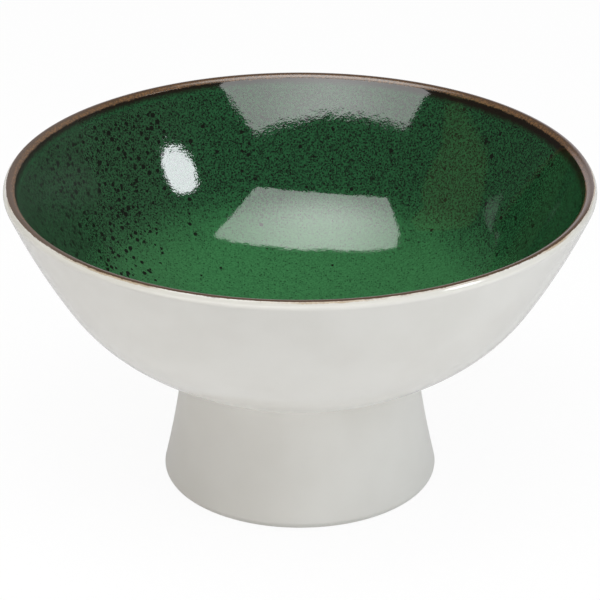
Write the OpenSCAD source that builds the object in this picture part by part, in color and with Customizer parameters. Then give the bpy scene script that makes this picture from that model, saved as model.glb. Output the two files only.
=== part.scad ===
// Footed compote bowl in glazed stoneware.
// A thrown bowl stands on a hollow thrown foot. A layer of slip lutes the two, and coats of glaze cover them.
// Millimetres, Z up. The origin is on the table, at the middle of the foot ring.
// Every piece is turned from a section, in which x is the radius and y is the height.

/* [Bowl profile] */
// Diameter over the lip
bowl_d = 160; // [130:1:200]
// Height of the lip above the table
overall_h = 88; // [74:0.5:104]
// Height of the underside at its middle, above the table
underside_h = 27; // [20:0.5:36]
// Radius of the wall's slight curve, on the outside
wall_r = 190; // [150:5:240]
// Turn of the wall's curve, from the belly up to the lip, in degrees
wall_turn_deg = 9.4; // [6:0.2:12]
// Turn of the belly's curve, from the floor up to the wall, in degrees
belly_turn_deg = 20; // [14:0.5:26]
// Lean of the wall at the lip, out from the slope that a single arc from floor to lip would have, in degrees
lip_lean_deg = 7.3; // [5:0.1:9]

/* [Bowl clay] */
// Thickness of the wall
wall_t = 2.6; // [2:0.1:4]
// Thickness at the middle of the floor
floor_t = 4.2; // [3:0.1:6]

/* [Foot clay] */
// Diameter of the foot where it stands
foot_d = 77; // [70:0.5:90]
// Diameter of the foot where it meets the bowl
neck_d = 65; // [54:0.5:72]
// Radius of the hollow curve of the foot's side
side_r = 285; // [100:5:400]
// Thickness of the foot's wall
foot_wall = 4.6; // [3.6:0.1:8]
// Rounding of the foot ring's outer edge
ring_outer_round = 1.4; // [0.8:0.1:2]
// Rounding of the foot ring's inner edge
ring_inner_round = 1; // [0.5:0.1:1.5]

/* [Luted joint] */
// Thickness of the slip between the foot and the bowl
slip_t = 0.8; // [0.4:0.1:1.6]

/* [Glaze] */
// Thickness of every coat
glaze_t = 0.35; // [0.2:0.05:0.6]
// Turn round the lip, from the wall's outer face, after which the brown band begins, in degrees
band_start_deg = 88; // [40:1:140]
// Length of the brown band down the inner wall, below the round of the lip
band_drop = 2.6; // [1:0.1:12]
// Height of the bare clay under the outer coat, at the foot ring
dry_h = 0.4; // [0.2:0.05:0.7]
// Radius of the glaze that gathers in the crease between the bowl and the foot
pool_r = 1; // [0.4:0.1:2.5]

/* [Hidden] */
$fn = 256;
clay_colour = [0.79, 0.72, 0.61];
slip_colour = [0.70, 0.62, 0.51];
green_colour = [0.16, 0.37, 0.22];
brown_colour = [0.33, 0.23, 0.15];
cream_colour = [0.85, 0.84, 0.80];

// Length of a cutting line, long enough to leave the bowl on any side
reach = 2 * wall_r;

// Slope of an upright wall
upright = 90;

// Steps to which a radius is cut and a disc is first moved, so that tangent arcs meet to the last digit
radius_step = 0.001;
place_step = 0.01;
function in_steps(length, step) = round(length / step) * step;

// Unit vector out of the bowl where its profile has this slope
function outward(slope) = [sin(slope), -cos(slope)];

// Cutting line across the bowl's wall: it starts on the axis and runs out through a point at this slope
function cut_line(point, slope) = [[0, point.y + point.x / tan(slope)], point + reach * outward(slope)];

// Lip: a full round over the wall and both of its coats
lip_r = wall_t / 2 + glaze_t;
lip_centre = [bowl_d / 2 - lip_r, overall_h - lip_r];

// Slopes at which the floor, the belly and the wall end, worked out down from the lip
plain_slope = 2 * atan((lip_centre.y - underside_h) / lip_centre.x);
rim_slope = plain_slope - lip_lean_deg;
belly_slope = rim_slope - wall_turn_deg;
floor_slope = belly_slope - belly_turn_deg;

// Wall: an arc that is tangent to the lip
wall_centre = lip_centre - (wall_r - lip_r) * outward(rim_slope);
wall_start = wall_centre + wall_r * outward(belly_slope);

// Depths below the bowl's outer face: the clay's two faces, the green coat's face and the slip's lower face
clay_depth = glaze_t;
inside_depth = glaze_t + wall_t;
green_depth = inside_depth + glaze_t;
slip_depth = clay_depth - slip_t;

// Lift of the inside at its middle, where the clay is thicker than the wall
floor_lift = floor_t - wall_t;

// Belly: an arc tangent to the wall, of the radius that brings the floor to its height at the axis
belly_span = outward(belly_slope) - outward(floor_slope);
floor_span = outward(floor_slope) - outward(0);
function axis_to_wall(lift) = wall_start - [0, underside_h + lift];
function plain_belly_r(lift) = cross(floor_span, axis_to_wall(lift)) / cross(floor_span, belly_span);
function belly_r(lift) = in_steps(plain_belly_r(lift), radius_step);
function belly_centre(lift) = wall_start - belly_r(lift) * outward(belly_slope);

// Floor: an arc centred on the axis and tangent to the belly
function floor_r(lift) = in_steps(belly_r(lift) + belly_centre(lift).x / sin(floor_slope), radius_step);
function floor_end_slope(lift) = asin(belly_centre(lift).x / (floor_r(lift) - belly_r(lift)));
function floor_centre(lift) = belly_centre(lift) + belly_centre(lift).x * [-1, 1 / tan(floor_end_slope(lift))];

// Line on which the wall runs into the round of the lip
lip_line = cut_line(lip_centre, rim_slope);

// Line where the green coat gives way to the brown band, and the middle of the wall's clay on it
band_turn = band_drop / (wall_r - inside_depth) * 180 / PI;
band_line = cut_line(wall_centre, rim_slope - band_turn);
band_mid = wall_centre + (wall_r - (clay_depth + inside_depth) / 2) * outward(rim_slope - band_turn);

// Foot: its side is a hollow arc from the table to the bowl's underside
foot_toe = [foot_d / 2, 0];
foot_neck = [neck_d / 2, floor_centre(0).y - sqrt(pow(floor_r(0), 2) - pow(neck_d / 2, 2))];
side_chord = foot_neck - foot_toe;
side_normal = [side_chord.y, -side_chord.x] / norm(side_chord);
side_centre = (foot_toe + foot_neck) / 2 + sqrt(pow(side_r, 2) - pow(norm(side_chord) / 2, 2)) * side_normal;
hollow_depth = glaze_t + foot_wall;
lining_depth = hollow_depth + glaze_t;

// Foot ring: the centres of its two rounded edges, and the directions in which these meet the foot's faces
function edge_centre(r, round) = [side_centre.x - sqrt(pow(r, 2) - pow(side_centre.y - round, 2)), round];
function aim(from, to) = (to - from) / norm(to - from);
outer_edge = edge_centre(side_r + clay_depth + ring_outer_round, ring_outer_round);
inner_edge = edge_centre(side_r + hollow_depth - ring_inner_round, ring_inner_round);
outer_aim = aim(outer_edge, side_centre);
inner_aim = aim(side_centre, inner_edge);
coat_end_slope = upright - asin((ring_outer_round - dry_h) / (ring_outer_round + glaze_t));

// Crease between the bowl and the foot: the centre of the hollow round in which the glaze gathers
function slope_of(v) = atan2(v.x, -v.y);
pool_gap = floor_centre(0) - side_centre;
pool_to_side = side_r - pool_r;
pool_to_floor = floor_r(0) + pool_r;
pool_along = (pow(pool_to_side, 2) - pow(pool_to_floor, 2) + pow(norm(pool_gap), 2)) / (2 * norm(pool_gap));
pool_across = sqrt(pow(pool_to_side, 2) - pow(pool_along, 2));
pool_aim = pool_gap / norm(pool_gap);
pool_centre = side_centre + pool_along * pool_aim + pool_across * [-pool_aim.y, pool_aim.x];
pool_top_slope = slope_of(floor_centre(0) - pool_centre);
pool_foot_slope = slope_of(pool_centre - side_centre);

// Disc at a point
module disc(centre, r) {
    coarse = [for (v = centre) in_steps(v, place_step)];
    translate(coarse) translate(centre - coarse) circle(r);
}

// Wedge with its point at a centre, between two slopes
module wedge(centre, from, to, arm = reach) {
    arms = [for (slope = [from, (from + to) / 2, to]) centre + arm * outward(slope)];
    polygon(concat([centre], arms));
}

// All of the section that lies below a cutting line
module below(line) {
    polygon([line[0], line[1], [line[1].x, -reach], [0, -reach]]);
}

// All that lies deeper than this below the bowl's outer face. The belly rounds the corner of floor and wall
module bowl_fill(depth, lift = 0) {
    difference() {
        intersection() {
            disc(floor_centre(lift), floor_r(lift) - depth);
            disc(wall_centre, wall_r - depth);
        }
        difference() {
            wedge(belly_centre(lift), floor_end_slope(lift), belly_slope);
            disc(belly_centre(lift), belly_r(lift) - depth);
        }
    }
}

// All that lies below the bowl's lip, and the round of the lip at this depth
module lip_trim(depth) {
    below(lip_line);
    disc(lip_centre, lip_r - depth);
}

// Layer of the bowl between two depths, up to and round the lip
module bowl_layer(outer_depth, inner_depth, lip_depth) {
    intersection() {
        difference() {
            bowl_fill(outer_depth);
            bowl_fill(inner_depth, floor_lift);
        }
        lip_trim(lip_depth);
    }
}

// Side of the lip that the brown band covers, and the top of the inner wall with it
module band_side() {
    over_lip = rim_slope + band_start_deg;
    inward = 3 * upright;
    arms = [for (slope = [over_lip, (over_lip + inward) / 2]) lip_centre + reach * outward(slope)];
    polygon(concat([lip_centre], arms, [band_line[0], band_mid]));
}

// Corner of the foot ring, beyond the centre of its rounding
module ring_corner(edge, round, side) {
    arm = 3 * round;
    down = [0, -1];
    polygon([edge, edge + arm * down, edge + arm * (down + side), edge + arm * side]);
}

// What the rounding takes off a corner of the foot ring, under a coat of this thickness
module ring_waste(edge, round, side, coat = 0) {
    difference() {
        ring_corner(edge, round, side);
        disc(edge, round + coat);
    }
}

// All that lies deeper than this below the foot's outer face, from the table up into the bowl
module foot_fill(depth) {
    difference() {
        square([side_centre.x, belly_centre(0).y]);
        disc(side_centre, side_r + depth);
    }
}

// Foot down to its rounded outer edge, with the bowl on it up to the lip, all at this depth
module whole_fill(depth) {
    intersection() {
        bowl_fill(depth);
        lip_trim(depth);
    }
    difference() {
        foot_fill(depth);
        ring_waste(outer_edge, ring_outer_round, outer_aim, clay_depth - depth);
    }
}

// Glaze that fills the crease down to its hollow round
module crease_pool() {
    difference() {
        wedge(pool_centre, pool_top_slope, pool_foot_slope, 2 * pool_r);
        disc(pool_centre, pool_r);
    }
}

// Space in the hollow of the foot, under the bowl
module hollow_space(side_depth, bowl_depth) {
    difference() {
        foot_fill(side_depth);
        bowl_fill(bowl_depth);
    }
}

// Thrown bowl, thicker at the floor, with a full round at its lip
module bowl_body() {
    color(clay_colour) rotate_extrude() bowl_layer(clay_depth, inside_depth, clay_depth);
}

// Thrown foot, open below, with a rounded ring to stand on and a top hollowed to take the bowl
module foot_body() {
    color(clay_colour) rotate_extrude() difference() {
        foot_fill(clay_depth);
        foot_fill(hollow_depth);
        bowl_fill(slip_depth);
        ring_waste(outer_edge, ring_outer_round, outer_aim);
        ring_waste(inner_edge, ring_inner_round, inner_aim);
    }
}

// Ring of slip that lutes the foot to the bowl
module slip_joint() {
    color(slip_colour) rotate_extrude() difference() {
        intersection() {
            foot_fill(clay_depth);
            bowl_fill(slip_depth);
        }
        foot_fill(hollow_depth);
        bowl_fill(clay_depth);
    }
}

// Green coat that lines the bowl
module inner_glaze() {
    color(green_colour) rotate_extrude() intersection() {
        difference() {
            bowl_fill(inside_depth, floor_lift);
            bowl_fill(green_depth, floor_lift);
        }
        below(band_line);
    }
}

// Brown band over the lip and down the top of the inner wall
module rim_glaze() {
    color(brown_colour) rotate_extrude() intersection() {
        difference() {
            bowl_layer(0, green_depth, 0);
            bowl_layer(clay_depth, inside_depth, clay_depth);
        }
        band_side();
    }
}

// Cream coat on the outside, from the lip down the bowl and the foot to the bare ring
module outer_glaze() {
    color(cream_colour) rotate_extrude() difference() {
        union() {
            whole_fill(0);
            crease_pool();
        }
        whole_fill(clay_depth);
        band_side();
        wedge(outer_edge, 0, coat_end_slope);
    }
}

// Cream coat in the hollow of the foot, over its wall and the underside of the bowl
module hollow_glaze() {
    color(cream_colour) rotate_extrude() difference() {
        hollow_space(hollow_depth, clay_depth);
        hollow_space(lining_depth, 0);
        ring_corner(inner_edge, ring_inner_round, inner_aim);
    }
}

bowl_body();
foot_body();
slip_joint();
inner_glaze();
rim_glaze();
outer_glaze();
hollow_glaze();
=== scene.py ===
# %% [markdown]
# # A glazed stoneware compote bowl
#
# The real bowl is two thrown pieces of clay, luted with slip and covered with coats of glaze. The packed
# model has the exact clay and the exact coats. This lesson keeps what lies inside as it is, and lathes each
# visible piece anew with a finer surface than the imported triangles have, because a glossy coat mirrors the
# studio and shows every flat.

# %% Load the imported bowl
import math

import bmesh
import bpy
from mathutils import Matrix, Vector


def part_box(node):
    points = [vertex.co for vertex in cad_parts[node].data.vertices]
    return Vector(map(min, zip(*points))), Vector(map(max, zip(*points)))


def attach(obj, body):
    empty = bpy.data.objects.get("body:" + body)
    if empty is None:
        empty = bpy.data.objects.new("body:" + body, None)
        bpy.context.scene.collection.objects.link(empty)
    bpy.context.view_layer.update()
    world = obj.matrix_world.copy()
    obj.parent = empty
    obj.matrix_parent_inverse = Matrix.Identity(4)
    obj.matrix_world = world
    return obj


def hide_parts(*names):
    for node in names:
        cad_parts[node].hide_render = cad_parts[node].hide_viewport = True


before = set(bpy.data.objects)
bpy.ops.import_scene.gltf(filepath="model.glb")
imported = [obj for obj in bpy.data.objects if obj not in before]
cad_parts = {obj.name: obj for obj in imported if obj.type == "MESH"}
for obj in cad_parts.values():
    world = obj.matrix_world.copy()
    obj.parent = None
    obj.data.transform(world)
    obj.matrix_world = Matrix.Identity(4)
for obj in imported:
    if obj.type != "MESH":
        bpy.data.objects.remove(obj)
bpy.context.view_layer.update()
print("packed nodes:", ", ".join(sorted(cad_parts)))

# %% [markdown]
# ## The section of the bowl
#
# A potter thinks of a bowl as a section that is turned about its axis. This one is three arcs, of the floor,
# the belly and the wall, each tangent to the next, with a round at the lip. A list of points could describe
# it, but then every change would mean new points. A few radii and slopes say the same and can be checked
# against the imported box. A slope is the angle of the section to the table, so 0 is a level floor and 90 an
# upright wall.

# %% Sizes of the bowl, in metres and degrees
# In the names, t is a thickness, h a height and r a radius
MM = 0.001
glaze_t = 0.35 * MM
wall_t = 2.6 * MM
floor_t = 4.2 * MM
underside_h = 27 * MM
wall_r = 190 * MM
wall_turn = 9.4
belly_turn = 20.0
lip_lean = 7.3
band_start = 88.0
band_drop = 2.6 * MM

bowl_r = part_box("outer_glaze")[1].x
lip_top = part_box("rim_glaze")[1].z
lip_r = wall_t / 2 + glaze_t
print("lip: %.2f mm across, top at %.2f mm" % (2 * bowl_r / MM, lip_top / MM))


# %% Points and slopes of the section
def at(radius, height):
    """A point of the section, in the plane y = 0."""
    return Vector((radius, 0, height))


def outward(slope):
    """The direction out of the bowl where its section has this slope."""
    return at(math.sin(math.radians(slope)), -math.cos(math.radians(slope)))


def slope_of(direction):
    """The slope at which the section faces in this direction."""
    return math.degrees(math.atan2(direction.x, -direction.z))


lip_centre = at(bowl_r - lip_r, lip_top - lip_r)
plain_slope = 2 * math.degrees(math.atan2(lip_centre.z - underside_h, lip_centre.x))
rim_slope = plain_slope - lip_lean
belly_slope = rim_slope - wall_turn
floor_slope = belly_slope - belly_turn
wall_centre = lip_centre - (wall_r - lip_r) * outward(rim_slope)
wall_start = wall_centre + wall_r * outward(belly_slope)
band_slope = rim_slope - math.degrees(band_drop / (wall_r - glaze_t - wall_t))
print("slopes: floor to %.1f, belly to %.1f, wall to %.1f" % (floor_slope, belly_slope, rim_slope))


# %% Arcs of the belly and the floor
def cross(a, b):
    """The cross product of two directions in the plane of the section."""
    return a.x * b.z - a.z * b.x


def bowl_arcs(lift):
    """Centres and radii of the belly and the floor that reach the axis this much above the underside."""
    belly_span = outward(belly_slope) - outward(floor_slope)
    floor_span = outward(floor_slope) - outward(0)
    to_axis = wall_start - at(0, underside_h + lift)
    belly_r = cross(floor_span, to_axis) / cross(floor_span, belly_span)
    belly_centre = wall_start - belly_r * outward(belly_slope)
    floor_r = belly_r + belly_centre.x / math.sin(math.radians(floor_slope))
    floor_centre = at(0, belly_centre.z + belly_centre.x / math.tan(math.radians(floor_slope)))
    return belly_centre, belly_r, floor_centre, floor_r


outer_arcs = bowl_arcs(0)
inner_arcs = bowl_arcs(floor_t - wall_t)
for side, arcs in (("outside", outer_arcs), ("inside", inner_arcs)):
    print("%s: belly radius %.1f mm, floor radius %.1f mm" % (side, arcs[1] / MM, arcs[3] / MM))


# %% Faces of the section, as arcs with a centre, a radius and the slopes where they start and end
def bowl_face(depth, arcs):
    """The bowl's face at a depth below its outer face, from the axis to the lip."""
    belly_centre, belly_r, floor_centre, floor_r = arcs
    return [
        (floor_centre, floor_r - depth, 0, floor_slope),
        (belly_centre, belly_r - depth, floor_slope, belly_slope),
        (wall_centre, wall_r - depth, belly_slope, rim_slope),
    ]


def lip_face(depth, start, end):
    """The round of the lip at a depth, between two turns from the wall's outer face."""
    return [(lip_centre, lip_r - depth, rim_slope + start, rim_slope + end)]


def back(arcs):
    """The same arcs, walked the other way."""
    return [(centre, radius, end, start) for centre, radius, start, end in reversed(arcs)]


clay_depth = glaze_t
inside_depth = glaze_t + wall_t
green_depth = inside_depth + glaze_t
print("wall with its coats: %.2f mm" % (green_depth / MM))

# %% [markdown]
# ## Soft edges on the lip
#
# The clay of the lip is a full round, but the glaze on it is a little flatter at both edges, so a lamp leaves
# a wider streak there than on a round. A bump in the material could fake that, but then the mesh would not
# have it. So a flatter arc is let into the round, between two tighter ones. All three are tangent and end
# where the round does, which leaves two unknown radii and one equation of directions to find them.


# %% Round with a flatter arc
def softened(start, end, flat):
    """The round of the lip between two turns, with a flat: the turns where it starts and ends, its radius."""
    flat_start, flat_end, flat_r = flat
    turns = [rim_slope + turn for turn in (start, flat_start, flat_end, end)]
    begin, low, high, close = (outward(turn) for turn in turns)
    rest = lip_r * (close - begin) - flat_r * (high - low)
    first_r = cross(close - high, rest) / cross(close - high, low - begin)
    last_r = cross(low - begin, rest) / cross(low - begin, close - high)
    first_centre = lip_centre + (lip_r - first_r) * begin
    flat_centre = first_centre + (first_r - flat_r) * low
    last_centre = lip_centre + (lip_r - last_r) * close
    print("lip: radii of %.2f, %.2f and %.2f mm" % (first_r / MM, flat_r / MM, last_r / MM))
    return [
        (first_centre, first_r, turns[0], turns[1]),
        (flat_centre, flat_r, turns[1], turns[2]),
        (last_centre, last_r, turns[2], turns[3]),
    ]


# %% [markdown]
# ## Turning a section into a piece
#
# On the wheel a profile sweeps round the axis. Blender's Screw modifier could do it, but the spin operator
# does it in the mesh itself, and it draws the section too: spun about an arc's centre, a single vertex leaves
# the arc behind it like a compass. So each piece is drawn with the compass, arc by arc, and then spun once
# about the axis.

# %% The compass
ARC_STEP = 1.1 * MM
TURN_STEP = 4.5
SAME_POINT = 0.001 * MM


def draw_arc(section, tip, centre, radius, start, end):
    """Carry the last vertex of a section round a centre, and return the vertex at the end."""
    turn = math.radians(start - end)
    by_length = math.ceil(abs(turn) * radius / ARC_STEP)
    by_turn = math.ceil(abs(start - end) / TURN_STEP)
    made = bmesh.ops.spin(
        section, geom=[tip], cent=centre, axis=(0, 1, 0), angle=turn, steps=max(1, by_length, by_turn)
    )
    last = [v for v in made["geom_last"] if isinstance(v, bmesh.types.BMVert)][0]
    drift = (last.co - centre - radius * outward(end)).length
    assert drift < SAME_POINT, drift
    return last


def draw_section(arcs, closed):
    """A section along these arcs, with a straight line wherever two of them don't meet."""
    section = bmesh.new()
    tip = None
    for centre, radius, start, end in arcs:
        begin = centre + radius * outward(start)
        if tip is None:
            first = tip = section.verts.new(begin)
        elif (tip.co - begin).length > SAME_POINT:
            tip = bmesh.ops.extrude_vert_indiv(section, verts=[tip])["verts"][0]
            tip.co = begin
        tip = draw_arc(section, tip, centre, radius, start, end)
    if closed:
        bmesh.ops.contextual_create(section, geom=[tip, first])
    return section


print("compass: steps of up to %.1f mm and %.1f degrees" % (ARC_STEP / MM, TURN_STEP))

# %% The wheel
SPOKES = 256
SHARP = 30


def as_mesh(name, body):
    """A mesh with the shape that was worked on, which is then put away."""
    mesh = bpy.data.meshes.new(name)
    body.to_mesh(mesh)
    body.free()
    return mesh


def add_to_scene(name, data):
    """An object with this data, in the scene."""
    made = bpy.data.objects.new(name, data)
    bpy.context.scene.collection.objects.link(made)
    return made


def turned(name, arcs, closed):
    """A piece whose section runs along these arcs. Closed joins the section's end to its start."""
    body = draw_section(arcs, closed)
    bmesh.ops.spin(
        body, geom=body.verts[:] + body.edges[:], cent=(0, 0, 0), axis=(0, 0, 1),
        angle=2 * math.pi, steps=SPOKES, use_merge=True,
    )
    bmesh.ops.remove_doubles(body, verts=body.verts, dist=SAME_POINT)
    bmesh.ops.recalc_face_normals(body, faces=body.faces)
    for face in body.faces:
        face.smooth = True
    open_edges = sum(not edge.is_manifold for edge in body.edges)
    volume = body.calc_volume() / MM ** 3
    mesh = as_mesh(name, body)
    mesh.set_sharp_from_angle(angle=math.radians(SHARP))
    print("%s: %d faces, %.0f mm3, %d open edges" % (name, len(mesh.polygons), volume, open_edges))
    return add_to_scene(name, mesh)


print("wheel: %d spokes, %.1f mm apart at the lip" % (SPOKES, 2 * math.pi * bowl_r / SPOKES / MM))

# %% [markdown]
# ## The coats inside the bowl and over the lip
#
# The green coat lines the bowl up to just below the lip. The brown band takes over there, rolls over the lip
# and stops at its outer side. A coat could be a plain surface, but real glaze has a thickness. So each is a
# thin closed shell on the clay: the section goes along one face and back along the other.

# %% Green lining
inside_clay = bowl_face(inside_depth, inner_arcs)
inside_green = bowl_face(green_depth, inner_arcs)


def up_to(arcs, slope):
    """These arcs with the last one cut at a slope."""
    centre, radius, start, _ = arcs[-1]
    return arcs[:-1] + [(centre, radius, start, slope)]


green_lining = turned(
    "green_lining", up_to(inside_clay, band_slope) + back(up_to(inside_green, band_slope)), closed=False
)

# %% Brown lip
# The round turns by this much from the wall's outer face to its inner one
INSIDE = 180
INNER_FLAT = (149, 166, 3.0 * MM)


def up_from(arcs, slope):
    """The last of these arcs, from a slope on."""
    centre, radius, _, end = arcs[-1]
    return [(centre, radius, slope, end)]


brown_lip = turned(
    "brown_lip",
    softened(band_start, INSIDE, INNER_FLAT)
    + back(up_from(inside_green, band_slope))
    + up_from(inside_clay, band_slope)
    + lip_face(clay_depth, INSIDE, band_start),
    closed=True,
)

# %% [markdown]
# ## The foot
#
# The foot is a hollow flared ring. Its side is a long shallow arc that bends away from the axis, so its
# centre lies far outside. It ends below in a ring with two rounded edges, and above in the bowl's underside.
# The corners could be typed in as points, but worked out they stay true when a size changes. Two arcs cross
# where a draughtsman finds the third corner of a triangle, by the distances from two centres.

# %% Sizes of the foot
foot_r = 38.5 * MM
neck_r = 32.5 * MM
side_r = 285 * MM
foot_wall = 4.6 * MM
ring_outer_round = 1.4 * MM
ring_inner_round = 1.0 * MM
slip_t = 0.8 * MM
dry_h = 0.4 * MM
pool_r = 1.0 * MM

floor_centre, floor_r = outer_arcs[2:]
foot_toe = at(foot_r, 0)
foot_neck = at(neck_r, floor_centre.z - math.sqrt(floor_r ** 2 - neck_r ** 2))
chord = foot_neck - foot_toe
to_side_centre = at(chord.z, -chord.x).normalized()
side_height = math.sqrt(side_r ** 2 - (chord.length / 2) ** 2)
side_centre = (foot_toe + foot_neck) / 2 + side_height * to_side_centre
hollow_depth = glaze_t + foot_wall
lining_depth = hollow_depth + glaze_t
slip_depth = clay_depth - slip_t
print("foot: neck at %.2f mm, centre of its side at %.1f mm" % (foot_neck.z / MM, side_centre.x / MM))


# %% Corners and edges of the foot
def crossing(from_side, from_floor):
    """The point at these distances from the side's and the floor's centres, towards the foot."""
    gap = floor_centre - side_centre
    along = (from_side ** 2 - from_floor ** 2 + gap.length_squared) / (2 * gap.length)
    across = math.sqrt(from_side ** 2 - along ** 2)
    aim = gap.normalized()
    return side_centre + along * aim + across * at(-aim.z, aim.x)


def side_slope(point):
    """The slope of the foot's side at a point of it."""
    return slope_of(point - side_centre)


def floor_slope_at(point):
    """The slope of the bowl's floor at a point of it."""
    return slope_of(point - floor_centre)


def side_face(depth, top, bottom):
    """The foot's side at a depth below its outer face, from one point's height to another's."""
    return [(side_centre, side_r + depth, side_slope(top), side_slope(bottom))]


def ring_edge(from_side, rounding):
    """The centre of one of the foot ring's rounded edges."""
    return at(side_centre.x - math.sqrt(from_side ** 2 - (side_centre.z - rounding) ** 2), rounding)


outer_edge = ring_edge(side_r + clay_depth + ring_outer_round, ring_outer_round)
inner_edge = ring_edge(side_r + hollow_depth - ring_inner_round, ring_inner_round)
outer_turn = slope_of(side_centre - outer_edge)
coat_end = 90 - math.degrees(math.asin((ring_outer_round - dry_h) / (ring_outer_round + glaze_t)))
print("foot ring: flat from %.2f to %.2f mm" % (inner_edge.x / MM, outer_edge.x / MM))

# %% [markdown]
# ## The coats outside, and the clay foot
#
# The cream coat is one dip, from the lip down the bowl and the foot to the dry ring. Glaze gathers in the
# crease between bowl and foot as it melts, so the section turns the corner there on a small hollow round. The
# hollow of the foot has a coat of its own. The clay foot shows only at its ring, but it is turned whole, so
# that it is a solid.

# %% Cream outside
OUTER_FLAT = (55, 60.5, 8.5 * MM)
pool_centre = crossing(side_r - pool_r, floor_r + pool_r)
pool_top = slope_of(floor_centre - pool_centre)
pool_side = slope_of(pool_centre - side_centre)
clay_crease = crossing(side_r + clay_depth, floor_r - clay_depth)


def floor_from(depth, arcs, slope):
    """The bowl's face at a depth, starting on its floor at a slope instead of at the axis."""
    face = bowl_face(depth, arcs)
    centre, radius, _, end = face[0]
    return [(centre, radius, slope, end)] + face[1:]


cream_outside = turned(
    "cream_outside",
    back(softened(0, band_start, OUTER_FLAT))
    + back(floor_from(0, outer_arcs, floor_slope_at(pool_centre)))
    + [(pool_centre, pool_r, pool_top, pool_side)]
    + side_face(0, pool_centre, outer_edge)
    + [(outer_edge, ring_outer_round + glaze_t, outer_turn, coat_end)]
    + [(outer_edge, ring_outer_round, coat_end, outer_turn)]
    + side_face(clay_depth, outer_edge, clay_crease)
    + floor_from(clay_depth, outer_arcs, floor_slope_at(clay_crease))
    + lip_face(clay_depth, 0, band_start),
    closed=True,
)

# %% Cream hollow
hollow_corner = crossing(side_r + hollow_depth, floor_r - clay_depth)
lining_corner = crossing(side_r + lining_depth, floor_r)
cream_hollow = turned(
    "cream_hollow",
    [(floor_centre, floor_r - clay_depth, 0, floor_slope_at(hollow_corner))]
    + side_face(hollow_depth, hollow_corner, inner_edge)
    + side_face(lining_depth, inner_edge, lining_corner)
    + [(floor_centre, floor_r, floor_slope_at(lining_corner), 0)],
    closed=False,
)

# %% Clay foot
top_outer = crossing(side_r + clay_depth, floor_r - slip_depth)
top_inner = crossing(side_r + hollow_depth, floor_r - slip_depth)
clay_foot = turned(
    "clay_foot",
    [(outer_edge, ring_outer_round, 0, outer_turn)]
    + side_face(clay_depth, outer_edge, top_outer)
    + [(floor_centre, floor_r - slip_depth, floor_slope_at(top_outer), floor_slope_at(top_inner))]
    + side_face(hollow_depth, top_inner, inner_edge)
    + [(inner_edge, ring_inner_round, side_slope(inner_edge), 0)],
    closed=True,
)

# %% [markdown]
# ## Tying the pieces to the imported model
#
# The imported coats and foot stay in the model, unseen, for its weight and its contacts. Each new piece hides
# the one it stands for and goes where the pot goes. It could be fitted by eye, but it is drawn from the same
# sizes, so its height and the imported one have to agree.

# %% Tie each piece to the imported model
for piece, node, slot in (
    (green_lining, "inner_glaze", "green_glaze"),
    (brown_lip, "rim_glaze", "brown_glaze"),
    (cream_outside, "outer_glaze", "cream_glaze"),
    (cream_hollow, "hollow_glaze", "cream_glaze"),
    (clay_foot, "foot_body", "stoneware"),
):
    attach(piece, "root")
    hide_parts(node)
    low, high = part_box(node)
    heights = [vertex.co.z / MM for vertex in piece.data.vertices]
    print("%s: %.2f to %.2f mm high" % (piece.name, min(heights), max(heights)))
    print("%s, which it stands for: %.2f to %.2f mm" % (node, low.z / MM, high.z / MM))

# %% [markdown]
# ## Writing shader sums as sums
#
# A glaze is a sum of small effects, and a node tree drawn by hand hides the sum. The class below wraps one
# socket. An expression such as 1 - mask adds its Math nodes by itself, and every other node comes from one
# method, which sets the node's settings first and then its sockets.


# %% The wire
class Wire:
    """A socket in a shader's tree, with arithmetic."""

    def __init__(self, tree, socket=None):
        self.tree, self.socket = tree, socket

    def node(self, kind, settings=None, sockets=None, out=0):
        """Add a node, and return the wire of one of its outputs."""
        made = self.tree.nodes.new(kind)
        for name, value in (settings or {}).items():
            setattr(made, name, value)
        for name, value in (sockets or {}).items():
            if isinstance(value, Wire):
                self.tree.links.new(value.socket, made.inputs[name])
            else:
                made.inputs[name].default_value = value
        return Wire(self.tree, made.outputs[out])

    def math(self, operation, *values):
        """A Math node on numbers and wires."""
        return self.node("ShaderNodeMath", {"operation": operation}, dict(enumerate(values)))

    def __add__(self, other):
        return self.math("ADD", self, other)

    def __sub__(self, other):
        return self.math("SUBTRACT", self, other)

    def __rsub__(self, other):
        return self.math("SUBTRACT", other, self)

    def __mul__(self, other):
        return self.math("MULTIPLY", self, other)

    __radd__ = __add__
    __rmul__ = __mul__

    def smooth(self, low, high):
        """0 below low, 1 above high, and an even curve between. A low above high runs the other way."""
        sockets = {"Value": self, "From Min": low, "From Max": high}
        return self.node("ShaderNodeMapRange", {"interpolation_type": "SMOOTHSTEP"}, sockets)

    def between(self, low, high):
        """The number low where this wire is 0, and high where it is 1."""
        return self * (high - low) + low

    def mix(self, below, above):
        """The colour below where this wire is 0, and above where it is 1."""
        sockets = {0: self, 6: colour(below), 7: colour(above)}
        return self.node("ShaderNodeMix", {"data_type": "RGBA"}, sockets, out=2)


def colour(value):
    """A colour for a socket: a wire stays, and three numbers get their alpha."""
    return value if isinstance(value, Wire) else (*value, 1)


# %% [markdown]
# ## Patterns in a glaze
#
# All patterns read Object coordinates, in metres, so they keep their real size. Noise gives the slow clouding
# of a coat and its fine grain, and it sways an edge that would be too straight. Spots come from a Voronoi
# pattern: each cell is a drop, a random number of its own decides whether the drop shows and how large it is,
# and the surface cuts through the drops at random depths.


# %% Noise
def noise(place, size, detail=2.0):
    """Clouds of about this size, from 0 to 1."""
    sockets = {"Vector": place, "Scale": 1 / size, "Detail": detail}
    return place.node("ShaderNodeTexNoise", None, sockets)


def sway(place, size, amount, detail=2.0):
    """A shift to and fro by up to half this amount, in clouds of this size."""
    return (noise(place, size, detail) - 0.5) * amount


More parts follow.
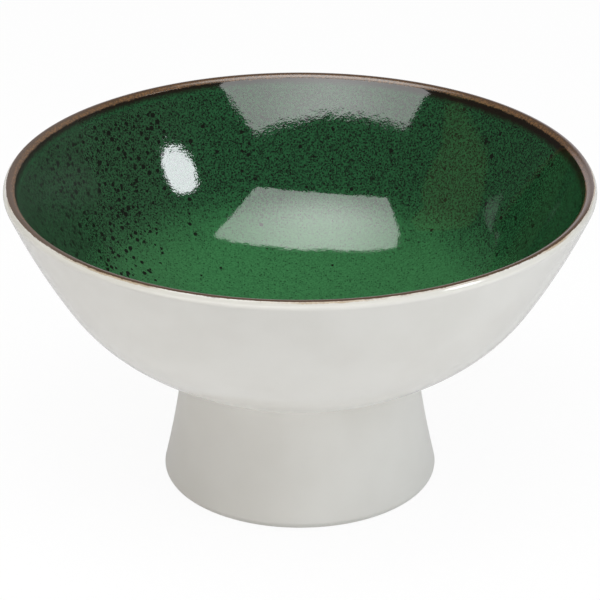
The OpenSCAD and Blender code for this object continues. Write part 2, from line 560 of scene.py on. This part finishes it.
# %% Spots
SMALLEST_DROP = 0.5
DROP_EDGE = 0.15
DICE_EDGE = 0.005


def spots(place, spacing, radius, share):
    """Round drops, 1 at their middle: share is how many of the cells have one, a number or a wire."""
    sockets = {"Vector": place, "Scale": 1 / spacing}
    distance = place.node("ShaderNodeTexVoronoi", None, sockets, out="Distance")
    dice = place.node("ShaderNodeTexVoronoi", None, sockets, out="Color")
    chance = dice.node("ShaderNodeSeparateColor", None, {0: dice}, out="Red")
    growth = dice.node("ShaderNodeSeparateColor", None, {0: dice}, out="Green")
    reach = growth.between(SMALLEST_DROP, 1) * (radius / spacing)
    shown = (share - chance).smooth(0, DICE_EDGE)
    return (reach - distance).smooth(0, DROP_EDGE * radius / spacing) * shown


# %% [markdown]
# ## How far past the lip
#
# The glazes change colour along the section, over the lip and down into the bowl. So the shaders need that
# distance. On the lip it is the turn about the lip's centre times its radius, and on the walls it is the
# straight distance from the lip's centre along the wall. The band is narrow, so the bend of the wall makes no
# difference that shows.


# %% Coordinates, and the distance past the start of the brown band
def coordinate(place, axis):
    """One coordinate of a place: X, Y or Z."""
    return place.node("ShaderNodeSeparateXYZ", None, {0: place}, out=axis)


def off_axis(place):
    """How far a place lies from the bowl's axis."""
    x, y = coordinate(place, "X"), coordinate(place, "Y")
    return place.math("SQRT", x * x + y * y)


def lip_run(place, inside):
    """How far a place lies past the start of the brown band, in millimetres along the section."""
    sideways = off_axis(place) - lip_centre.x
    upright = coordinate(place, "Z") - lip_centre.z
    up, out = outward(rim_slope + 90), outward(rim_slope)
    up_wall = sideways * up.x + upright * up.z
    off_wall = sideways * out.x + upright * out.z
    turn = place.math("ARCTAN2", place.math("MAXIMUM", up_wall, 0), off_wall)
    down_wall = place.math("MINIMUM", up_wall, 0) * (-1 if inside else 1)
    return ((turn - math.radians(band_start)) * lip_r + down_wall) * (1 / MM)


band_length = math.radians(INSIDE - band_start) * lip_r + band_drop
print("brown band: %.1f mm, over the lip and down the wall" % (band_length / MM))

# %% [markdown]
# ## The reactive glaze, from green to brown
#
# Inside, a copper green glaze with iron in it lies over the clay. It runs down the wall as it melts and
# gathers on the floor, where it is thick and clear green. On the wall it is thin and dark with fine grain.
# At the lip the iron wins, so the green turns black and then brown, with a black edge that is wider on the
# right. The coats are separate pieces and could have a colour each, but in the kiln their edges melt
# together. So both coats read one sum, along the height and the distance past the lip.

# %% Where the glaze has gathered, and its uneven edge
# A sway has the size of its clouds and its amount, in metres of height or in millimetres past the lip
WALL_Z, FLOOR_Z = 61.5 * MM, 46 * MM
GATHERED_SWAY = (14 * MM, 6 * MM)
WIDE_FRAY = (2.4 * MM, 0.9)
FINE_FRAY = (0.5 * MM, 0.8, 1.0)


def gathered(place):
    """0 on the wall and 1 where the glaze has gathered on the floor."""
    return (coordinate(place, "Z") + sway(place, *GATHERED_SWAY)).smooth(WALL_Z, FLOOR_Z)


def frayed_run(place):
    """The distance past the band's start, with the uneven edge that a glaze gets as it melts."""
    return lip_run(place, inside=True) + sway(place, *WIDE_FRAY) + sway(place, *FINE_FRAY)


print("green: gathers from %.1f down to %.1f mm above the table" % (WALL_Z / MM, FLOOR_Z / MM))

# %% Colours of the reactive glaze
WALL_GREEN = (0.0190, 0.096, 0.0350)
FLOOR_GREEN = (0.0375, 0.172, 0.0580)
IRON_GREEN = (0.0060, 0.018, 0.0090)
EDGE_BLACK = (0.0120, 0.008, 0.0045)
BROWN_DARK = (0.0850, 0.051, 0.0300)
BROWN_LIGHT = (0.1900, 0.100, 0.0440)
GRAIN = 0.55 * MM
DARK_GRAIN, LIGHT_GRAIN = (0.62, 0.36), (0.38, 0.62)
GRAIN_ON_WALL, GRAIN_ON_FLOOR = 0.80, 0.35
# The brown is dark on the top of the lip and light further in: partly the glaze, and partly painted shade for
# the dark studio that the back of the lip mirrors
DARK_TO_LIGHT = (1.1, 1.9)
BROWN_TO_BLACK = (2.4, 2.9)
BLACK_TO_GREEN = (3.0, 5.2)
WIDER_BLACK = 0.9
WIDER_SIDE = (10 * MM, 60 * MM)


def reactive_glaze(place):
    """The colour of the glaze from the lip to the floor, without its specks and spots."""
    run, thick = frayed_run(place), gathered(place)
    grain = noise(place, GRAIN)
    iron = grain.smooth(*DARK_GRAIN) * thick.between(GRAIN_ON_WALL, GRAIN_ON_FLOOR)
    green = iron.mix(thick.mix(WALL_GREEN, FLOOR_GREEN), IRON_GREEN)
    # Partly painted shade: the brown stays dark on the top of the lip
    light = grain.smooth(*LIGHT_GRAIN) * run.smooth(*DARK_TO_LIGHT)
    brown = light.mix(BROWN_DARK, BROWN_LIGHT)
    band = run.smooth(*BROWN_TO_BLACK).mix(brown, EDGE_BLACK)
    wider = coordinate(place, "X").smooth(*WIDER_SIDE) * WIDER_BLACK
    return (run - wider).smooth(*BLACK_TO_GREEN).mix(band, green)


print("brown to %.1f mm, black from %.1f mm, green from %.1f mm" % (*BROWN_TO_BLACK, BLACK_TO_GREEN[1]))

# %% [markdown]
# ## Finishing a material
#
# Every material is one Principled shader: a base colour that the patterns feed, a roughness and a bump. The
# bump is the dimpling of a fired glaze that potters call orange peel. It is a few thousandths of a millimetre
# deep, so it can't be seen by itself, but it frays the edge of every reflection. Modelled as a mesh it would
# take millions of faces.

# %% Finish a material
BROADER, BROAD_SHARE = 3.2, 1.2


def paint(name):
    """A new material, and the wire of its Object coordinates."""
    material = bpy.data.materials.new(name)
    material.use_nodes = True
    return material, Wire(material.node_tree).node("ShaderNodeTexCoord", out="Object")


def orange_peel(place, depth, size, relief=1.0):
    """The dimpling of a surface, as a bump: fine dimples, and broader ones under them."""
    fine, broad = noise(place, size, detail=1.0), noise(place, BROADER * size, detail=0.0)
    dimples = (fine + broad * BROAD_SHARE) * relief
    return place.node("ShaderNodeBump", None, {"Strength": 1.0, "Distance": depth, "Height": dimples})


def finish(material, base, roughness, normal, ior):
    """Feed a material's shader."""
    tree = material.node_tree
    shader = tree.nodes["Principled BSDF"]
    tree.links.new(base.socket, shader.inputs["Base Color"])
    tree.links.new(roughness.socket, shader.inputs["Roughness"])
    tree.links.new(normal.socket, shader.inputs["Normal"])
    shader.inputs["IOR"].default_value = ior
    print("%s: %d nodes" % (material.name, len(tree.nodes)))


# %% [markdown]
# ## The green lining and the brown lip
#
# Dots of iron lie in the green. Fine specks cover the wall and thin out on the floor. Larger spots crowd on
# the left wall in clumps, and are few elsewhere. A greyish tint there is a painted reflection, the faint veil
# that the glaze mirrors. The glaze is glossy, but satin on the lip, where it is thin, and on the far left,
# where it has most iron. The dots could be small meshes of their own, but they lie in the glaze and not on
# it, so they belong to its colour.

# %% Gloss of the reactive glaze
GLAZE_IOR = 1.7
GLAZE_PEEL = (0.0075 * MM, 0.55 * MM)
GLOSS, SATIN_LIP, SATIN_SIDE = 0.035, 0.16, 0.34
LIP_EDGE = (3.0, 2.4)
SIDE_EDGE, SIDE_SWAY = (-50 * MM, -66 * MM), (16 * MM, 16 * MM)
PEEL_EDGE = (3, 9)
PEEL_ON_LIP, PEEL_ON_FLOOR = 0.3, 0.8


def melt(place):
    """The roughness of the glaze: glossy, but satin on the lip and on the side that has most iron."""
    on_lip = lip_run(place, inside=True).smooth(*LIP_EDGE)
    on_side = (coordinate(place, "X") + sway(place, *SIDE_SWAY)).smooth(*SIDE_EDGE)
    return on_lip * SATIN_LIP + on_side * SATIN_SIDE + GLOSS


def ripples(place):
    """The orange peel of the glaze: weak on the lip, strong on the wall and a little weaker on the floor."""
    below_lip = lip_run(place, inside=True).smooth(*PEEL_EDGE)
    relief = below_lip.between(PEEL_ON_LIP, 1) * gathered(place).between(1, PEEL_ON_FLOOR)
    return orange_peel(place, *GLAZE_PEEL, relief)


print("roughness: %.3f, and %.3f on the lip" % (GLOSS, GLOSS + SATIN_LIP))

# %% Specks and iron spots
SPECK_SPACING, SPECK_R = 0.62 * MM, 0.34 * MM
SPECK_SHARE = (0.75, 0.35)
SPECK_DEPTH = (0.92, 0.52)
SPOT_SPACING, SPOT_R = 1.9 * MM, 0.85 * MM
SPOT_DEPTH = 0.98
CROWDED_SIDE, CROWDED_TOP = (-37 * MM, -45 * MM), (84.5 * MM, 81 * MM)
CLUMP, CLUMP_EDGE = 9 * MM, (0.26, 0.44)
CROWDED = 0.80
FEW_SIDE, FEW = (6 * MM, -10 * MM), (0.05, 0.10)
FEW_ON_FLOOR = 0.02


def fine_specks(place):
    """How much of a speck shows: many and dark on the wall, fewer and paler on the floor."""
    thick = gathered(place)
    dots = spots(place, SPECK_SPACING, SPECK_R, thick.between(*SPECK_SHARE))
    return dots * thick.between(*SPECK_DEPTH)


def iron_spots(place):
    """How much of an iron spot shows: crowded in clumps on the left wall, and few elsewhere."""
    x, z = coordinate(place, "X"), coordinate(place, "Z")
    left_wall = x.smooth(*CROWDED_SIDE) * z.smooth(*CROWDED_TOP)
    clumps = noise(place, CLUMP).smooth(*CLUMP_EDGE)
    few = (1 - gathered(place)) * x.smooth(*FEW_SIDE).between(*FEW)
    share = left_wall * clumps * CROWDED + few + FEW_ON_FLOOR
    return spots(place, SPOT_SPACING, SPOT_R, share) * SPOT_DEPTH


print("specks up to %.2f mm and iron spots up to %.2f mm across" % (2 * SPECK_R / MM, 2 * SPOT_R / MM))

# %% Green glaze and brown glaze
IRON_BLACK = (0.0050, 0.007, 0.0040)
# A greyish tint on the left wall: a painted reflection, for the faint veil that the glaze mirrors there
PAINTED_VEIL, PAINTED_VEIL_SIDE, PAINTED_VEIL_SHARE = (0.045, 0.050, 0.035), (-20 * MM, -48 * MM), 0.16

green_glaze, place = paint("green_glaze")
# Painted reflection: the green is tinted grey towards the left wall
painted_veil = coordinate(place, "X").smooth(*PAINTED_VEIL_SIDE) * PAINTED_VEIL_SHARE
base = painted_veil.mix(reactive_glaze(place), PAINTED_VEIL)
base = fine_specks(place).mix(base, IRON_BLACK)
base = iron_spots(place).mix(base, IRON_BLACK)
finish(green_glaze, base, melt(place), ripples(place), GLAZE_IOR)

brown_glaze, place = paint("brown_glaze")
finish(brown_glaze, reactive_glaze(place), melt(place), ripples(place), GLAZE_IOR)

# %% [markdown]
# ## The cream glaze
#
# The cream coat is smooth and almost even. Under the lip it is painted a little darker, which is painted
# shade:
# there the round faces the lamp overhead and would be brighter than the wall. The brown glaze bleeds into it
# and leaves a tan, patchy edge. It is glossy on the bowl, satin on the foot and dull in the crease between
# them. Each of these could have a material of its own, but on the real bowl one runs into the next, so one
# material reads where it is.

# %% Colour of the cream glaze
CREAM_PALE = (0.776, 0.764, 0.728)
CREAM_DEEP = (0.745, 0.731, 0.693)
# Painted shade: a darker cream on the lip's round, so that it is no brighter than the wall below
CREAM_SHADED = (0.670, 0.655, 0.605)
TAN = (0.42, 0.31, 0.19)
CREAM_CLOUD, CLOUD_EDGE = 18 * MM, (0.3, 0.7)
SHADED_LIP_EDGE, TAN_EDGE, BROWN_EDGE = (-2.4, -0.9), (-0.65, -0.35), (-0.20, 0.10)
WIDE_BLEED, FINE_BLEED = (3 * MM, 0.5), (0.6 * MM, 0.5)
TAN_PATCH, PATCH_EDGE, TAN_SHARE = (30 * MM, 1.0), (0.40, 0.60), 0.8


def cream_colour(place):
    """The cream coat's colour, with painted shade and a tan and brown edge under the lip."""
    run = lip_run(place, inside=False)
    bleed = run + sway(place, *WIDE_BLEED) + sway(place, *FINE_BLEED)
    base = noise(place, CREAM_CLOUD).smooth(*CLOUD_EDGE).mix(CREAM_DEEP, CREAM_PALE)
    # Painted shade: the cream darkens towards the brown band
    base = run.smooth(*SHADED_LIP_EDGE).mix(base, CREAM_SHADED)
    patches = noise(place, *TAN_PATCH).smooth(*PATCH_EDGE) * TAN_SHARE
    base = (bleed.smooth(*TAN_EDGE) * patches).mix(base, TAN)
    return bleed.smooth(*BROWN_EDGE).mix(base, BROWN_DARK)


# Over this span the cream is painted darker, as painted shade
print("cream: is painted darker over the last %.1f mm before the brown" % -SHADED_LIP_EDGE[0])

# %% Gloss of the cream glaze
CREAM_IOR = 1.5
CREAM_PEEL = (0.0010 * MM, 1.1 * MM)
CREAM_GLOSS, SATIN_WALL, SATIN_FOOT, DULL_CREASE = 0.04, 0.05, 0.24, 0.4
WALL_EDGE, FOOT_EDGE = (84 * MM, 78 * MM), (48 * MM, 34 * MM)
CREASE_EDGE = (3.0 * MM, 1.2 * MM)


def cream_gloss(place):
    """The cream coat's roughness: glossy at the lip, satin on the foot and dull in the crease above it."""
    height = coordinate(place, "Z")
    satin = height.smooth(*FOOT_EDGE) * SATIN_FOOT + height.smooth(*WALL_EDGE) * SATIN_WALL
    aside, below = off_axis(place) - pool_centre.x, height - pool_centre.z
    from_crease = place.math("SQRT", aside * aside + below * below)
    return satin + from_crease.smooth(*CREASE_EDGE) * DULL_CREASE + CREAM_GLOSS


cream_glaze, place = paint("cream_glaze")
finish(cream_glaze, cream_colour(place), cream_gloss(place), orange_peel(place, *CREAM_PEEL), CREAM_IOR)

# %% [markdown]
# ## The bare clay and the slip
#
# The clay is bare only on the foot ring, where it stood on the kiln shelf: matt, grainy and buff, with a few
# dark grains of iron. The slip in the joint is the same clay without its sand, so it is finer and a little
# darker. One noise drives the colour and the roughness of each, because a pale grain is also a dry one.

# %% Bare clay
CLAY_IOR = 1.5
CLAY_DEEP, CLAY_PALE = (0.46, 0.36, 0.25), (0.66, 0.56, 0.43)
CLAY_GRAIN, CLAY_EDGE = (0.5 * MM, 3.0), (0.3, 0.75)
CLAY_IRON = (1.6 * MM, 0.3 * MM, 0.4)
CLAY_MATT = (0.80, 0.90)
CLAY_PEEL = (0.05 * MM, 0.4 * MM)

bare_clay, place = paint("bare_clay")
grain = noise(place, *CLAY_GRAIN).smooth(*CLAY_EDGE)
base = spots(place, *CLAY_IRON).mix(grain.mix(CLAY_DEEP, CLAY_PALE), BROWN_DARK)
finish(bare_clay, base, grain.between(*CLAY_MATT), orange_peel(place, *CLAY_PEEL), CLAY_IOR)

# %% Fired slip
SLIP_DEEP, SLIP_PALE = (0.36, 0.27, 0.18), (0.48, 0.38, 0.27)
SLIP_STREAK, SLIP_EDGE = (1.5 * MM, 3.0), (0.3, 0.7)
SLIP_MATT = (0.84, 0.92)
SLIP_PEEL = (0.02 * MM, 0.2 * MM)

fired_slip, place = paint("fired_slip")
streaks = noise(place, *SLIP_STREAK).smooth(*SLIP_EDGE)
base = streaks.mix(SLIP_DEEP, SLIP_PALE)
finish(fired_slip, base, streaks.between(*SLIP_MATT), orange_peel(place, *SLIP_PEEL), CLAY_IOR)

# %% [markdown]
# ## Dressing the pieces
#
# On the real pot the bowl's clay and the slip are covered all over, so they could stay plain. But whoever
# cuts the model open sees them, so they get their finish too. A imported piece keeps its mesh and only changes
# its material.

# %% Dress the pieces
for piece, material in (
    (green_lining, green_glaze),
    (brown_lip, brown_glaze),
    (cream_outside, cream_glaze),
    (cream_hollow, cream_glaze),
    (clay_foot, bare_clay),
    (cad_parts["bowl_body"], bare_clay),
    (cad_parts["slip_joint"], fired_slip),
):
    piece.data.materials.clear()
    piece.data.materials.append(material)
    print("%s wears %s" % (piece.name, material.name))

# %% [markdown]
# ## The sheets of the studio
#
# The gloss of the bowl shows the lamps, so they stand where its reflections say: a large sheet overhead, a
# long pale sheet across the front with an apron below it, a backdrop behind, and a dim warm wall with a paler
# strip on the left. Area lamps are plain rectangles or ovals, but these reflections have corners of their own
# and fade to one side. So each is a flat sheet that glows, brightest at one point. Only the overhead sheet
# lights the bowl. The others are only mirrored in it.

# %% Directions in the studio
# The point in the bowl, towards its back wall, from which the studio is measured
focus = Vector((0, 50 * MM, 52 * MM))


def sky(azimuth, elevation):
    """A direction from the bowl: azimuth 0 is the camera's side, and it grows to the right."""
    a, e = math.radians(azimuth), math.radians(elevation)
    return Vector((math.sin(a) * math.cos(e), -math.cos(a) * math.cos(e), math.sin(e)))


print("studio: measured from a point %.0f mm above the table" % (focus.z / MM))


# %% Glowing sheets
def only_shader(material, shader):
    """Make this shader the whole of a material."""
    tree = material.node_tree
    tree.nodes.remove(tree.nodes["Principled BSDF"])
    tree.links.new(shader.socket, tree.nodes["Material Output"].inputs["Surface"])
    print("%s: %d nodes" % (material.name, len(tree.nodes)))


def glow_material(name, bright, dim, hot, reach):
    """A material that glows, bright at the hot point and dim this far from it."""
    material, place = paint(name)
    away = place.node("ShaderNodeVectorMath", {"operation": "DISTANCE"}, {0: place, 1: hot}, out="Value")
    light = away.smooth(0, reach).mix(bright, dim)
    only_shader(material, place.node("ShaderNodeEmission", None, {"Color": light, "Strength": 1.0}))
    return material


def glowing_sheet(name, corners, bright, dim, hot, reach, mirrored_only=True):
    """A sheet with these corners that glows."""
    sheet = bmesh.new()
    bmesh.ops.contextual_create(sheet, geom=[sheet.verts.new(corner) for corner in corners])
    mesh = as_mesh(name, sheet)
    mesh.materials.append(glow_material(name, bright, dim, hot, reach))
    stand = add_to_scene(name, mesh)
    stand.visible_camera = False
    stand.visible_diffuse = stand.visible_shadow = not mirrored_only
    print("%s: %d corners" % (name, len(corners)))


def grey(value):
    """A colour without a hue."""
    return (value, value, value)


# %% Overhead sheet
# Its height above that point, and its corners to the right and to the back, as shares of that height
OVERHEAD = 0.87
OVERHEAD_CORNERS = (
    (0.436, -0.909), (-0.81, -0.60), (-0.50, 0.18), (-0.13, 0.04), (0.15, 0.02), (0.448, 0.059),
)
glowing_sheet(
    "overhead_sheet", [focus + OVERHEAD * Vector((x, y, 1)) for x, y in OVERHEAD_CORNERS],
    bright=grey(5.2), dim=grey(2.8), hot=focus + OVERHEAD * Vector((-0.12, -0.22, 1)),
    reach=0.65 * OVERHEAD, mirrored_only=False,
)

# %% Front sheet and the apron below it
# From here on a sheet has a distance in metres and the directions of its corners in degrees
FRONT = 1.4
FRONT_CORNERS = (
    (40, 22), (34, 26), (28, 30), (22, 34), (8, 33.5), (-12, 32), (-28, 31), (-40, 30),
    (-50, 29), (-54, 24), (-58, 22), (-64, 6), (-40, 4), (-10, 4), (20, 4), (52, 6),
)
glowing_sheet(
    "front_sheet", [focus + FRONT * sky(*corner) for corner in FRONT_CORNERS],
    bright=grey(4.1), dim=grey(2.8), hot=focus + FRONT * sky(-12, 29), reach=0.8,
)

APRON = 1.9
APRON_TOP, APRON_FOOT = 4, -1.2
APRON_TURNS = (-70, -45, -20, 5, 30, 55, 80, 100)
apron = [(turn, APRON_TOP) for turn in APRON_TURNS]
apron += [(turn, APRON_FOOT) for turn in reversed(APRON_TURNS)]
glowing_sheet(
    "apron", [focus + APRON * sky(*corner) for corner in apron],
    bright=(2.9, 3.00, 3.1), dim=(2.1, 2.00, 1.8), hot=focus + APRON * sky(85, 1), reach=2.6,
)

# %% Backdrop
BACKDROP = 1.6
BACKDROP_CORNERS = (
    (142, -1), (160, -1), (180, -1), (200, -1), (218, -1),
    (218, 22), (200, 26), (180, 27), (160, 26), (142, 22),
)
glowing_sheet(
    "backdrop", [focus + BACKDROP * sky(*corner) for corner in BACKDROP_CORNERS],
    bright=(0.90, 0.88, 0.95), dim=(0.80, 0.78, 0.86), hot=focus + BACKDROP * sky(180, 12), reach=1.0,
)

# %% Warm wall and its strip
WALL_AWAY = 2.0
WARM_CORNERS = (
    (-64, 22), (-70, 20), (-92, 19), (-102, 21), (-105, 29),
    (-96, 53), (-82, 51), (-75, 38), (-67, 32), (-69, 26),
)
STRIP_CORNERS = ((-103, 20), (-110, 16), (-113, 17), (-118, 20), (-108, 20))
glowing_sheet(
    "warm_wall", [focus + WALL_AWAY * sky(*corner) for corner in WARM_CORNERS],
    bright=(0.20, 0.26, 0.12), dim=(0.15, 0.20, 0.09), hot=focus + WALL_AWAY * sky(-85, 35), reach=0.8,
)
glowing_sheet(
    "wall_strip", [focus + WALL_AWAY * sky(*corner) for corner in STRIP_CORNERS],
    bright=(0.38, 0.44, 0.40), dim=(0.34, 0.40, 0.36), hot=focus + WALL_AWAY * sky(-110, 18), reach=0.4,
)

# %% [markdown]
# ## The lamp and the fills
#
# A small oval lamp on the right leaves the bright oval in the bowl and the streak on the lip. Two fills, cool
# on the right and warm on the left, light the outside. The gloss would show them where the real bowl shows
# nothing, so they aren't mirrored. All three could be glowing sheets too, but each is an even oval or
# rectangle, and an area lamp gives that with less noise.


# %% Lamp and fills
def softbox(name, aim, away, across, width, height, radiance, tint, shape="RECTANGLE"):
    """A flat lamp that faces the bowl: its direction and distance, the direction of its width, its size."""
    lamp = bpy.data.lights.new(name, "AREA")
    lamp.shape, lamp.size, lamp.size_y, lamp.color = shape, width, height, tint
    area = width * height * (math.pi / 4 if shape == "ELLIPSE" else 1)
    lamp.energy = radiance * math.pi * area
    z = aim.normalized()
    x = (Vector(across) - z.dot(Vector(across)) * z).normalized()
    stand = add_to_scene(name, lamp)
    turn = Matrix((x, z.cross(x), z)).transposed().to_4x4()
    stand.matrix_world = Matrix.Translation(focus + away * z) @ turn
    stand.visible_camera = False
    print("%s: %.2f by %.2f m, %.1f W" % (name, width, height, lamp.energy))
    return stand


COOL, WARM = (0.89, 0.96, 1.0), (1.0, 0.86, 0.66)
UP = (0, 0, 1)
softbox(
    "right_lamp", aim=Vector((0.755, -0.3815, 0.533)), away=1.2, across=(0.581, 0.766, -0.275),
    width=0.30, height=0.14, radiance=10.5, tint=(0.94, 0.97, 1.0), shape="ELLIPSE",
)
right_fill = softbox(
    "right_fill", aim=sky(65, 32), away=1.4, across=UP,
    width=1.0, height=1.0, radiance=1.35, tint=COOL,
)
left_fill = softbox(
    "left_fill", aim=sky(-75, 25), away=1.4, across=UP,
    width=0.8, height=1.0, radiance=0.55, tint=WARM,
)
right_fill.visible_glossy = left_fill.visible_glossy = False

# %% [markdown]
# ## The table, the air and the camera
#
# The bowl stands on white paper in a white surrounding. More light would burn out the cream glaze, so the
# paper and the world ask the Light Path what looks at them: the camera sees them white, a reflection sees the
# paper dimmer and the studio dark, and the light that they send to the bowl stays plain. The camera is a long
# lens that looks down a little, placed by the outline of the bowl in the photograph.

# %% Table
TABLE_HALF = 6
TABLE_DROP = 0.2 * MM
table = bmesh.new()
bmesh.ops.create_grid(table, x_segments=1, y_segments=1, size=TABLE_HALF)
bmesh.ops.translate(table, verts=table.verts, vec=(0, 0, -TABLE_DROP))
table = add_to_scene("table", as_mesh("table", table))
print("table: %d m wide, %.1f mm below the foot" % (2 * TABLE_HALF, TABLE_DROP / MM))

# %% White paper
PAPER_WHITE = 0.88
PAPER_GLOW = 0.94
PAPER_MIRRORED = 0.64
white_sweep, place = paint("white_sweep")
camera, glossy, through = (
    place.node("ShaderNodeLightPath", out=ray)
    for ray in ("Is Camera Ray", "Is Glossy Ray", "Is Transmission Ray")
)
mirrored = place.math("MAXIMUM", glossy, through)
straight = place.math("MAXIMUM", camera, mirrored)
paper = place.node("ShaderNodeBsdfDiffuse", None, {"Color": colour(grey(PAPER_WHITE))})
white = mirrored.mix(grey(1), grey(PAPER_MIRRORED))
glow = place.node("ShaderNodeEmission", None, {"Color": white, "Strength": 1.0})
sweep = place.node("ShaderNodeMixShader", None, {0: straight * PAPER_GLOW, 1: paper, 2: glow})
only_shader(white_sweep, sweep)
table.data.materials.append(white_sweep)

# %% World
AMBIENT, DARK_STUDIO = 0.34, 0.06
world = bpy.data.worlds.new("studio")
bpy.context.scene.world = world
world.use_nodes = True
tree = world.node_tree
wire = Wire(tree)
ambient, dark, white = (
    wire.node("ShaderNodeBackground", None, {"Color": colour(grey(1)), "Strength": level})
    for level in (AMBIENT, DARK_STUDIO, 1.0)
)
camera, glossy = (
    wire.node("ShaderNodeLightPath", out=ray) for ray in ("Is Camera Ray", "Is Glossy Ray")
)
unseen = wire.node("ShaderNodeMixShader", None, {0: glossy, 1: ambient, 2: dark})
studio = wire.node("ShaderNodeMixShader", None, {0: camera, 1: unseen, 2: white})
tree.nodes.remove(tree.nodes["Background"])
tree.links.new(studio.socket, tree.nodes["World Output"].inputs["Surface"])
print("world: %.2f on the bowl, %.2f in reflections" % (AMBIENT, DARK_STUDIO))

# %% Camera
LOOK_DOWN = 25.42
LENS = 165.8
CAMERA_AWAY = 762.3 * MM
AIM_HEIGHT = 50.85 * MM
down = math.radians(LOOK_DOWN)
camera = bpy.data.cameras.new("camera")
camera.sensor_width = 36
camera.lens = LENS
camera.clip_start = 0.01
eye = add_to_scene("camera", camera)
eye.location = (0, -CAMERA_AWAY * math.cos(down), AIM_HEIGHT + CAMERA_AWAY * math.sin(down))
eye.rotation_euler = (math.pi / 2 - down, 0, 0)
bpy.context.scene.camera = eye
bpy.context.scene.view_settings.view_transform = "Standard"
print("camera: %.1f mm lens, %.0f mm away, %.1f degrees down" % (LENS, CAMERA_AWAY / MM, LOOK_DOWN))
